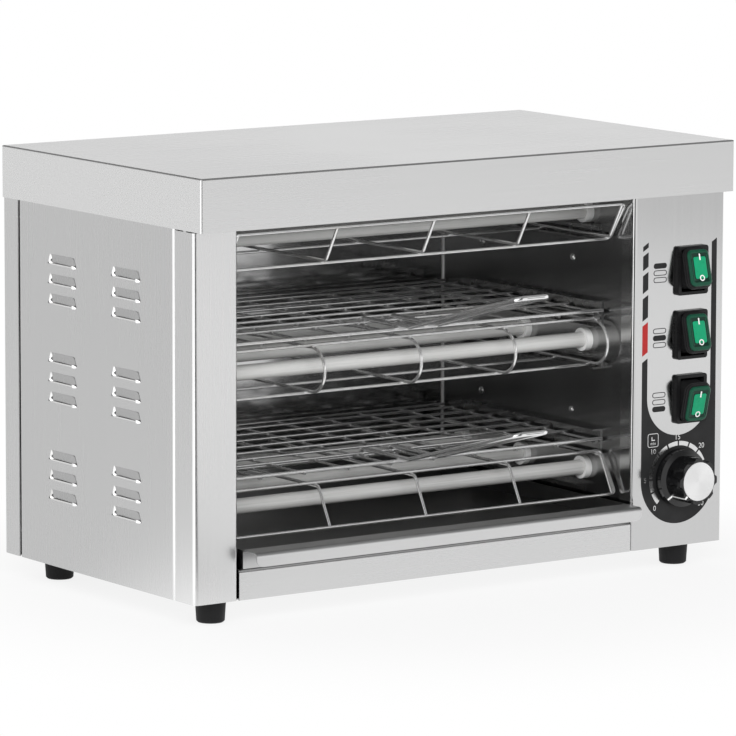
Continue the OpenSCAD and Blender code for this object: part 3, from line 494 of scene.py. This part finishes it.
# Each stripe: outer edge, inner edge and the height of the lower corner of its slanted top
STRIPE_L, STRIPE_LI, STRIPE_L_TOP = 151.6, 156.4, 133.7
STRIPE_R, STRIPE_RI, STRIPE_R_TOP = 217.4, 212.9, 215.6
SLANT = 0.6
STRIPE_RISE = (STRIPE_LI - STRIPE_L) * SLANT

# The round foot of the bare steel between the stripes
WELL_X, WELL_Z, WELL_R = (STRIPE_LI + STRIPE_RI) / 2, 107.9, (STRIPE_RI - STRIPE_LI) / 2

# Steps in the half rounds of the well and the field, and in each arc of the dial
WELL_STEPS, FIELD_STEPS, ARC_STEPS = 40, 72, 10

# Upper and lower ends of the bars above the left stripe, the last of which is red
BARS = ((216.0, 212.5), (209.1, 198.9), (195.2, 182.7), (178.9, 163.1), (159.6, 138.1))

# Three pills beside each switch, one of them full
PILL_X, PILL_PITCH, PILL_CENTRES = 166.9, 5.0, (196.6, 150.3, 104.6)
PILL_W, PILL_H, PILL_R = 11.7, 3.9, 1.9
PILL_HOLE_W, PILL_HOLE_H, PILL_HOLE_R = 10.5, 2.8, 1.35

# The dial's arcs, and the angle and radius of each figure
ARC_COUNT, ARC_STEP, ARC_GAP, ARC_START = 12, 22.5, 3.0, 225.0
ARC_OUT, ARC_IN = 25.8, 22.7
FIGURE_SIZE, FIGURE_MINUTES = 5.2, 5
FIGURES = ((225, 29.4), (180, 29.4), (138.5, 30.1), (91.5, 28.6), (45, 29.4), (0, 29.4), (-45, 29.4))

# The small clock: a frame with a rim, two hands and the unit below them
CLOCK_X, CLOCK_Z, CLOCK_W, CLOCK_H, CLOCK_R = 162.1, 77.6, 9.6, 9.8, 1.7
CLOCK_RIM, CLOCK_HOLE_R = 0.45, 1.3
CLOCK_HANDS = ((-1.4, 2.5), (-0.7, 2.5), (-0.7, 0.4), (1.6, 0.4), (1.6, -0.3), (-1.4, -0.3))
UNIT_DROP, UNIT_SIZE = 2.3, 3.2


def film_y(layer):
    """The middle of a film of ink; a higher layer lies on a lower one."""
    return PANEL_Y - (layer + 0.5) * FILM * MM


def printed(name, outlines, material, layer=0):
    """A film of ink on the panel."""
    mesh = flat_mesh(name, outlines, FILM)
    mesh.transform(Matrix.Translation((0, film_y(layer), BASE_Z * MM)))
    return new_piece(name, mesh, material, "cabinet")


def bare(name, outlines):
    """Steel that shows through the black field, as a film on it."""
    return printed(name, outlines, SCALE, ON_FIELD)


def bare_word(name, word, x, z, size):
    """Small generic figures of bare steel, centred on a point of the panel."""
    text = bpy.data.curves.new(name, "FONT")
    text.body = word
    text.size = size * MM
    text.align_x = "CENTER"
    text.align_y = "CENTER"
    text.extrude = FILM * MM / 2
    mesh = curve_mesh(name, text)
    mesh.transform(Matrix.Translation((x * MM, film_y(ON_FIELD), (BASE_Z + z) * MM)))
    return new_piece(name, mesh, SCALE, "cabinet")


def dial_field():
    """The black field round the dial, which runs up into a stripe on either side."""
    field = [(STRIPE_L, DIAL_Z), (STRIPE_L, STRIPE_L_TOP), (STRIPE_LI, STRIPE_L_TOP + STRIPE_RISE)]
    field += arc(WELL_X, WELL_Z, WELL_R, 180, 360, WELL_STEPS)
    field += [(STRIPE_RI, STRIPE_R_TOP), (STRIPE_R, STRIPE_R_TOP + (STRIPE_R - STRIPE_RI) * SLANT)]
    field += arc(DIAL_X, DIAL_Z, FIELD_R, 0, -180, FIELD_STEPS)
    printed("print_dial_field", [field], BLACK_INK)


def stripe_bars():
    """Slanted bars that grow shorter towards the top."""
    for i, (high, low) in enumerate(BARS, 1):
        bar = [(STRIPE_L, high), (STRIPE_L, low)]
        bar += [(STRIPE_LI, low + STRIPE_RISE), (STRIPE_LI, high + STRIPE_RISE)]
        printed(f"print_bar_{i}", [bar], RED_INK if i == len(BARS) else BLACK_INK)


def heater_pills():
    """Beside each switch a pill for each heater, full for the one that it turns on."""
    for k, centre in enumerate(PILL_CENTRES):
        for row in range(len(LEVELS)):
            z = centre + PILL_PITCH * (1 - row)
            outlines = [moved(round_rect(PILL_W, PILL_H, PILL_R), PILL_X, z)]
            if row != k:
                outlines.append(moved(round_rect(PILL_HOLE_W, PILL_HOLE_H, PILL_HOLE_R), PILL_X, z))
            printed(f"print_pill_{LEVELS[k]}_{row + 1}", outlines, BLACK_INK)


def dial_scale():
    """The arcs and minutes round the knob."""
    for i in range(ARC_COUNT):
        start = ARC_START - i * ARC_STEP - ARC_GAP / 2
        end = ARC_START - (i + 1) * ARC_STEP + ARC_GAP / 2
        ring = arc(DIAL_X, DIAL_Z, ARC_OUT, start, end, ARC_STEPS)
        ring += arc(DIAL_X, DIAL_Z, ARC_IN, end, start, ARC_STEPS)
        bare(f"dial_arc_{i + 1:02d}", [ring])
    for i, (angle, r) in enumerate(FIGURES):
        a = math.radians(angle)
        minute = FIGURE_MINUTES * i
        x, z = DIAL_X + r * math.cos(a), DIAL_Z + r * math.sin(a)
        bare_word(f"dial_minute_{minute:02d}", str(minute), x, z, FIGURE_SIZE)


def clock_sign():
    """A small clock face beside the dial."""
    outer = round_rect(CLOCK_W, CLOCK_H, CLOCK_R)
    inner = round_rect(CLOCK_W - 2 * CLOCK_RIM, CLOCK_H - 2 * CLOCK_RIM, CLOCK_HOLE_R)
    bare("dial_clock_frame", [moved(outer, CLOCK_X, CLOCK_Z), moved(inner, CLOCK_X, CLOCK_Z)])
    bare("dial_clock_hands", [moved(CLOCK_HANDS, CLOCK_X, CLOCK_Z)])
    bare_word("dial_unit", "min", CLOCK_X, CLOCK_Z - UNIT_DROP, UNIT_SIZE)


dial_field()
stripe_bars()
heater_pills()
dial_scale()
clock_sign()


# Rocker switches

# The level of the green face in front of the panel, its tilt in degrees and its shift to the left
FACE, TILT, ROCKER_SIDE = 12.5, 13.5, -0.6
ROCKER_W, ROCKER_H, ROCKER_R = 18.8, 26.2, 4.0
BOOT_W, BOOT_H, BOOT_R = 22.2, 29.4, 5.6
BORDER_W, BORDER_H, BORDER_R = 15.6, 21.0, 2.4
WINDOW_W, WINDOW_H, WINDOW_R = 10.8, 15.6, 1.4

# Edges past an angle in degrees stay sharp, and corners keep a least radius.
ROCKER_SHARP, LEAST_R = 40, 0.4

# Profiles, from the back to the front: height over the level of the face, and inset from the outline
BOOT_PROFILE = (
    (-15.0, 1.7), (-6.2, 1.7), (-5.7, 0.5), (-5.4, 0.1), (-5.0, 0.0), (-4.5, 0.1), (-4.25, 0.5),
    (-4.1, 1.0), (-3.85, 0.7), (-3.5, 0.45), (-3.0, 0.5), (-2.75, 0.8), (-2.6, 1.25), (-1.9, 1.3),
    (-1.7, 1.5), (-1.8, 2.6),
)
CAP_PROFILE = (
    (-2.9, 0.2), (-1.3, 0.0), (-0.7, 0.2), (-0.3, 0.6), (0.0, 1.4), (0.0, 2.6), (-0.15, 3.2), (-0.2, 3.7),
)
BORDER_PROFILE = ((-0.4, 0.0), (-0.08, 0.0), (0.0, 0.12), (0.0, 0.6), (-0.1, 0.75))
WINDOW_PROFILE = ((-0.4, 0.0), (0.05, 0.0), (0.25, 0.2), (0.35, 0.7), (0.3, 2.2))

# The I and O marks on the window, and how far they stand over the face
MARK_T, MARK_OUT = 0.12, 0.42
ON_Z, ON_W, ON_H, ON_R = 7.6, 1.1, 4.6, 0.3
OFF_Z, OFF_OUT, OFF_IN, OFF_STEPS = -7.4, 2.15, 1.35, 48


def rocker_parts(level, tilt):
    """A green rocker in its black boot, with a bright window and the two marks."""
    lo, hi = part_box("switch_frame_" + level)
    centre = (lo + hi) / 2
    turn = Matrix.Rotation(math.radians(tilt), 4, "X")
    place = Matrix.Translation((centre.x + ROCKER_SIDE * MM, PANEL_Y, centre.z)) @ turn

    def piece(name, profile, size, material):
        w, h, r = size
        rings = []
        for out, inset in profile:
            ring = round_rect(w - 2 * inset, h - 2 * inset, max(r - inset, LEAST_R))
            rings.append([(x * MM, -(FACE + out) * MM, z * MM) for x, z in ring])
        mesh = to_mesh(name, lambda bm: loft(bm, rings))
        mesh.transform(place)
        return new_piece(name, mesh, material, "rocker_" + level, ROCKER_SHARP)

    def mark(name, outlines):
        mesh = flat_mesh(name, outlines, MARK_T)
        mesh.transform(place @ Matrix.Translation((0, -(FACE + MARK_OUT) * MM, 0)))
        return new_piece(name, mesh, WHITE_INK, "rocker_" + level)

    piece("rocker_boot_" + level, BOOT_PROFILE, (BOOT_W, BOOT_H, BOOT_R), BOOT)
    shell = piece("rocker_cap_" + level, CAP_PROFILE, (ROCKER_W, ROCKER_H, ROCKER_R), GREEN)
    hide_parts("switch_rocker_" + level)
    border = (BORDER_W, BORDER_H, BORDER_R)
    piece("rocker_border_" + level, BORDER_PROFILE, border, GREEN_DARK)
    window = (WINDOW_W, WINDOW_H, WINDOW_R)
    piece("rocker_window_" + level, WINDOW_PROFILE, window, GREEN_BRIGHT)
    mark("rocker_on_" + level, [moved(round_rect(ON_W, ON_H, ON_R, 3), 0, ON_Z)])
    last = 360 - 360 / OFF_STEPS
    mark("rocker_off_" + level, [arc(0, OFF_Z, r, 0, last, OFF_STEPS - 1) for r in (OFF_OUT, OFF_IN)])


for level, tilt in zip(LEVELS, (-TILT, -TILT, TILT)):
    rocker_parts(level, tilt)


# Timer knob

POINTER_HALF, POINTER_LIFT, POINTER_ANGLE = 0.7, 0.1, -225

# Along the pointer: radius, distance from the panel, and the lift's shares along the radius and outwards
POINTER_PATH = (
    (20.1, 6.97, 0.39, 0.92), (17.0, 8.3, 0.2, 1.0), (16.5, 8.3, 1.0, 1.0), (16.5, 23.7, 1.0, 1.0),
    (14.0, 23.7, 0.0, 1.0),
)


def knob_pointer():
    """The white line that runs from the skirt up the side of the grip and over the edge of its face."""

    def build(bm):
        rings = []
        for r, out, share_r, share_out in POINTER_PATH:
            top = (r + share_r * POINTER_LIFT, out + share_out * POINTER_LIFT)
            corners = (((r, out), -1), ((r, out), 1), (top, 1), (top, -1))
            rings.append([(cr * MM, -co * MM, side * POINTER_HALF * MM) for (cr, co), side in corners])
        loft(bm, rings)

    mesh = to_mesh("knob_pointer", build)
    turn = Matrix.Rotation(math.radians(POINTER_ANGLE), 4, "Y")
    mesh.transform(Matrix.Translation((KNOB_CENTRE.x, PANEL_Y, KNOB_CENTRE.z)) @ turn)
    return new_piece("knob_pointer", mesh, WHITE_INK, "timer_knob")


knob_pointer()


# Louvres

# Sizes and places of the recesses, as in the part's source
LOUVRE_L, LOUVRE_H, LOUVRE_DEEP = 36.6, 7.2, 3.0
LOUVRE_TOP, LOUVRE_PITCH, LOUVRE_GROUP = 35.8, 13.8, 68.5
LOUVRE_COLUMNS, LOUVRE_BACK, LID_GAP = 81.5, 1.5, 0.8
LOUVRE_GROUPS, LOUVRE_ROWS = 3, 3

# What lies in a recess keeps these gaps from its rim and its floor, ends below its top and is this thick
RIM_GAP, FLOOR_GAP, LOUVRE_UP, LOUVRE_T = 0.12, 0.04, 6.9, 0.3

# The dished face: depth and curve, rear edge, rounded upper front corner, and the share of its depth in front
DISH_DEEP, DISH_CURVE, DISH_LOW, DISH_ROWS, DISH_REAR = 1.3, 0.6, 0.15, 6, 14.5
DISH_CORNER, DISH_CORNER_FROM, DISH_CORNER_H = 3.0, 3.6, 3.4
DISH_FRONT, DISH_EDGE, DISH_EASE = 0.35, 0.1, 0.14
DISH_STEPS = (0, 0.03, 0.07, 0.11, 0.14, 0.5, 1)

# The rear end wall: rounded lower corner, and the small gap that it leaves beside the face
WALL_LOW, WALL_ROWS, WALL_CORNER, WALL_CORNER_H, WALL_SUNK = 0.05, 11, 2.4, 2.2, 0.02
SLIT_W, SLIT_LOW, SLIT_H = 1.5, 0.7, 3.0

# The lip: place along the louvre, half height and lift, with a raised corner in front
LIP_PROFILE = (
    (-18.3, 0.25, 0.1), (-17.4, 0.75, 0.4), (-16.4, 1.05, 0.74), (-15.4, 1.2, 1.06), (-14.4, 1.2, 1.36),
    (-13.8, 1.0, 1.4), (-13.2, 0.7, 0.8), (-12.8, 0.5, 0.3), (0, 0.5, 0.3), (14.0, 0.5, 0.3),
    (15.6, 0.2, 0.1),
)

# The lip's usual half height, how far its middle lies over the lower edge, what it rises with more height, and
# how deep it roots in the panel
LIP_HALF, LIP_UP, LIP_RAISE, LIP_ROOT = 0.5, 0.1, 0.4, 0.3

# Angles round the lip, which is flat in front up to one of them on either side
LIP_FLAT = 60
LIP_TURN = (-90, -75, -60, -48, 0, 48, 60, 75, 90, 135, 180, 225)


def louvre_places(node):
    """The middle of each louvre's lower edge, as (y, z)."""
    lo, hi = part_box(node)
    mid = (lo.y + hi.y) / 2 / MM + LOUVRE_BACK
    first = hi.z / MM - LID_GAP - LOUVRE_TOP - LOUVRE_H / 2
    return [(mid + column * LOUVRE_COLUMNS / 2, first - group * LOUVRE_GROUP - i * LOUVRE_PITCH)
            for column in (-1, 1) for group in range(LOUVRE_GROUPS) for i in range(LOUVRE_ROWS)]


def heights(low, rows):
    return [low + (LOUVRE_UP - low) * i / rows for i in range(rows + 1)]


def rounded(share):
    """How far a round corner draws back, from 0 where it starts to 1 at its end."""
    return 1 - math.sqrt(1 - min(max(share, 0.0), 1.0) ** 2)


def louvre_half(h):
    """Half the length of a recess at a height above its lower edge."""
    return LOUVRE_L / 2 - LOUVRE_DEEP * h / LOUVRE_H - RIM_GAP


def louvre_depth(h):
    """How deep the dished face lies at a height above the lower edge."""
    left = max(0.0, 1 - h / LOUVRE_H)
    return min(DISH_DEEP * left ** DISH_CURVE, LOUVRE_DEEP * left - FLOOR_GAP)


def louvre_face():
    """Rows of (depth, along, height) on the dished face."""
    rows = []
    for h in heights(DISH_LOW, DISH_ROWS):
        front = DISH_CORNER * rounded((h - DISH_CORNER_FROM) / DISH_CORNER_H) - louvre_half(h)
        row = []
        for t in DISH_STEPS:
            slope = DISH_FRONT + (1 - DISH_FRONT) * t
            ease = DISH_EDGE + (1 - DISH_EDGE) * min(t / DISH_EASE, 1)
            row.append((louvre_depth(h) * slope * ease, front + (DISH_REAR - front) * t, h))
        rows.append(row)
    return rows


def louvre_wall():
    """Rows of (depth, along, height) on the rear end wall."""
    rows = []
    for h in heights(WALL_LOW, WALL_ROWS):
        run = louvre_half(h) - WALL_CORNER * rounded((WALL_CORNER_H - h) / WALL_CORNER_H) - DISH_REAR
        up = min((h - SLIT_LOW) / SLIT_H, 1)
        slit = SLIT_W * max(0.0, math.sin(math.pi * up))
        deep = louvre_depth(h) * (1 - slit / run)
        front = DISH_REAR + slit
        rows.append([(WALL_SUNK + deep * (1 - t), front + (run - slit) * t, h) for t in (0, 0.5, 1)])
    return rows


def louvre_lip():
    """Rings of (depth, along, height) round the lip, whose front is flat."""
    rings = []
    edge = math.cos(math.radians(LIP_FLAT))
    for along, half, lift in LIP_PROFILE:
        middle = LIP_UP + LIP_RAISE * (half - LIP_HALF)
        ring = []
        for a in map(math.radians, LIP_TURN):
            out = lift * min(1.0, math.cos(a) / edge) if math.cos(a) > 0 else LIP_ROOT * math.cos(a)
            ring.append((-out, along, middle + half * math.sin(a)))
        rings.append(ring)
    return rings


def louvres(node, side, inward):
    """The dished face of each louvre, its rear end wall, and the rolled lip with its raised front corner."""
    face_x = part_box(node)[0 if inward > 0 else 1].x / MM
    through = (inward * LOUVRE_T * MM, 0, 0)

    def placed(rows, y, z):
        return [[((face_x + inward * depth) * MM, (y + along) * MM, (z + h) * MM) for depth, along, h in row]
                for row in rows]

    def sheets(rows):
        def build(bm):
            for y, z in louvre_places(node):
                plate(bm, placed(rows, y, z), through)
        return build

    def lips(bm):
        for y, z in louvre_places(node):
            loft(bm, placed(louvre_lip(), y, z))

    # The end walls and lips take the bright zinc of the screws, a lighter copy of the sheet steel that paints
    # a highlight on them.
    shapes = (
        ("louvre_faces_", sheets(louvre_face()), DISHED_SHADE),
        ("louvre_ends_", sheets(louvre_wall()), FASTENER),
        ("louvre_lips_", lips, FASTENER),
    )
    for name, shape, material in shapes:
        new_piece(name + side, to_mesh(name + side, shape), material, "cabinet")


louvres("left_side_panel", "left", 1)
louvres("right_side_panel", "right", -1)


# Corner beads of the cavity

BEAD_R, BEAD_OFF, BEAD_STEPS = 1.3, 0.05, 8

# Each end of a bead: where it starts, where it is full, and its share of the radius at the start
BEAD_START, BEAD_FULL, BEAD_TAPER = 0.5, 1.5, 0.55


def corner_bead(name, x, side):
    """A round bead up a rear corner of the cavity, where the liner sheets meet; its pale steel paints the
    bright line of the corner, a painted highlight.
    """
    lo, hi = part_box("rear_liner")
    y = lo.y - BEAD_OFF * MM
    section = [(0, 0)] + [(side * px, -py) for px, py in arc(0, 0, BEAD_R * MM, 0, 90, BEAD_STEPS)]
    levels = ((lo.z + BEAD_START * MM, BEAD_TAPER), (lo.z + BEAD_FULL * MM, 1.0),
              (hi.z - BEAD_FULL * MM, 1.0), (hi.z - BEAD_START * MM, BEAD_TAPER))
    rings = [[(x + px * share, y + py * share, z) for px, py in section] for z, share in levels]
    return new_piece(name, to_mesh(name, lambda bm: loft(bm, rings)), BEAD_HIGHLIGHT, "cabinet")


corner_bead("corner_bead_left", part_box("left_liner")[1].x + BEAD_OFF * MM, 1)
corner_bead("corner_bead_right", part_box("right_liner")[0].x - BEAD_OFF * MM, -1)


# Floor, light and background

# Level directions in the room: towards the camera, to its right, and off the two edges of the dark part
AHEAD, ASIDE = (-0.573, -0.82, 0), (0.82, -0.573, 0)
DARK_RIGHT, DARK_LEFT = (0.889, -0.475, 0), (0.579, -0.917, 0)

# How dark the dark part is, and the light of the left wall, the left rear, the right and the ceiling
DARK, LEFT_WALL, LEFT_REAR = 0.95, 1.0, 0.8
RIGHT_NEAR, RIGHT_FAR, OVERHEAD = 1.14, 0.7, 0.25

# The floor's half size, cells and drop, and the reach of the shadow that it keeps
FLOOR_HALF, FLOOR_CELLS, FLOOR_DROP = 6000, 8, 0.4
SHADOW_NEAR, SHADOW_FAR, SHADOW_SHARE = 200, 450, 0.82
FLOOR_TONE, SKY_DIFFUSE = 0.86, 0.6

# The key lamp: place, aim and size, and its power in watts
KEY_PLACE = Vector((-1500, -2300, 1500)) * MM
KEY_AIM = Vector((0, 0, 150)) * MM
KEY_W, KEY_H, KEY_POWER = 2200, 1400, 62


def room(t, place):
    """Brightness of the room that polished metal mirrors: dark ahead, with a light wall on its left."""
    ahead, aside = t.along(place, AHEAD), t.along(place, ASIDE)
    right, left = t.along(place, DARK_RIGHT), t.along(place, DARK_LEFT)
    dark = t.math("MULTIPLY", t.ramp(right, 0.02, 0.14, 1.0, 0.0), t.ramp(left, 0.0, 0.15, 0.0, 1.0))
    dark = t.math("MULTIPLY", dark, t.ramp(ahead, 0.2, 0.4, 0.0, DARK))
    wall = t.math("MULTIPLY", t.ramp(left, -0.2, 0.1, LEFT_WALL, 0.0), t.ramp(ahead, 0.0, 0.35, 0.0, 1.0))
    level = t.ramp(aside, -0.25, 0.0, LEFT_REAR, 1.0)
    level = t.math("MULTIPLY", level, t.ramp(aside, 0.4, 1.2, 1.0, RIGHT_NEAR))
    level = t.math("MULTIPLY", level, t.ramp(aside, 1.75, 2.15, 1.0, RIGHT_FAR))
    return t.math("MULTIPLY", t.math("ADD", level, wall), t.math("SUBTRACT", 1.0, dark))


def white_floor():
    """A pale floor that keeps a faint shadow next to the grill and runs out into white."""
    bm = bmesh.new()
    bmesh.ops.create_grid(bm, x_segments=FLOOR_CELLS, y_segments=FLOOR_CELLS, size=FLOOR_HALF * MM)
    mesh = bpy.data.meshes.new("floor")
    bm.to_mesh(mesh)
    bm.free()
    floor = bpy.data.objects.new("floor", mesh)
    floor.location = (0, 0, -FLOOR_DROP * MM)
    scene.collection.objects.link(floor)
    material = bpy.data.materials.new("pale_floor")
    material.use_nodes = True
    material.node_tree.nodes.clear()
    t = Tree(material.node_tree)
    path = t.node("LightPath").outputs
    place = t.node("TexCoord").outputs["Object"]
    away = t.node("VectorMath", {0: place}, operation="LENGTH").outputs["Value"]
    near = t.ramp(away, SHADOW_NEAR * MM, SHADOW_FAR * MM, SHADOW_SHARE, 1.0)
    seen = t.math("MAXIMUM", path["Is Camera Ray"], path["Is Transmission Ray"])
    share = t.math("MAXIMUM", t.math("MULTIPLY", seen, near), path["Is Glossy Ray"])
    glossy = t.math("MULTIPLY", path["Is Glossy Ray"], room(t, place))
    diffuse = t.node("BsdfDiffuse", {"Color": (*grey(FLOOR_TONE), 1)})
    glow = t.node("Emission", {"Strength": t.math("MAXIMUM", seen, glossy)})
    mix = t.node("MixShader", {0: share, 1: diffuse.outputs[0], 2: glow.outputs[0]})
    t.node("OutputMaterial", {"Surface": mix.outputs[0]})
    mesh.materials.append(material)


def white_room():
    """A white background, and for polished metal a room that is greyer overhead."""
    world = bpy.data.worlds.new("studio")
    scene.world = world
    world.use_nodes = True
    t = Tree(world.node_tree)
    sky = world.node_tree.nodes["Background"]
    sky.inputs["Color"].default_value = (*grey(1), 1)
    path = t.node("LightPath").outputs
    place = t.node("TexCoord").outputs["Generated"]
    overhead = t.ramp(t.axis(place, "Z"), 0.25, 0.5, 1.0, OVERHEAD)
    glossy = t.math("MULTIPLY", path["Is Glossy Ray"], t.math("MULTIPLY", room(t, place), overhead))
    seen = t.math("MAXIMUM", path["Is Camera Ray"], path["Is Transmission Ray"])
    spread = t.math("MULTIPLY", path["Is Diffuse Ray"], SKY_DIFFUSE)
    t.feed(sky.inputs["Strength"], t.math("MAXIMUM", t.math("MAXIMUM", seen, glossy), spread))


def key_lamp():
    """A softbox in front on the left, which polished metal doesn't mirror."""
    data = bpy.data.lights.new("key", "AREA")
    data.shape = "RECTANGLE"
    data.size = KEY_W * MM
    data.size_y = KEY_H * MM
    data.energy = KEY_POWER
    lamp = bpy.data.objects.new("key", data)
    lamp.location = KEY_PLACE
    lamp.rotation_euler = (KEY_AIM - KEY_PLACE).to_track_quat("-Z", "Y").to_euler()
    lamp.visible_glossy = False
    scene.collection.objects.link(lamp)


white_floor()
white_room()
key_lamp()
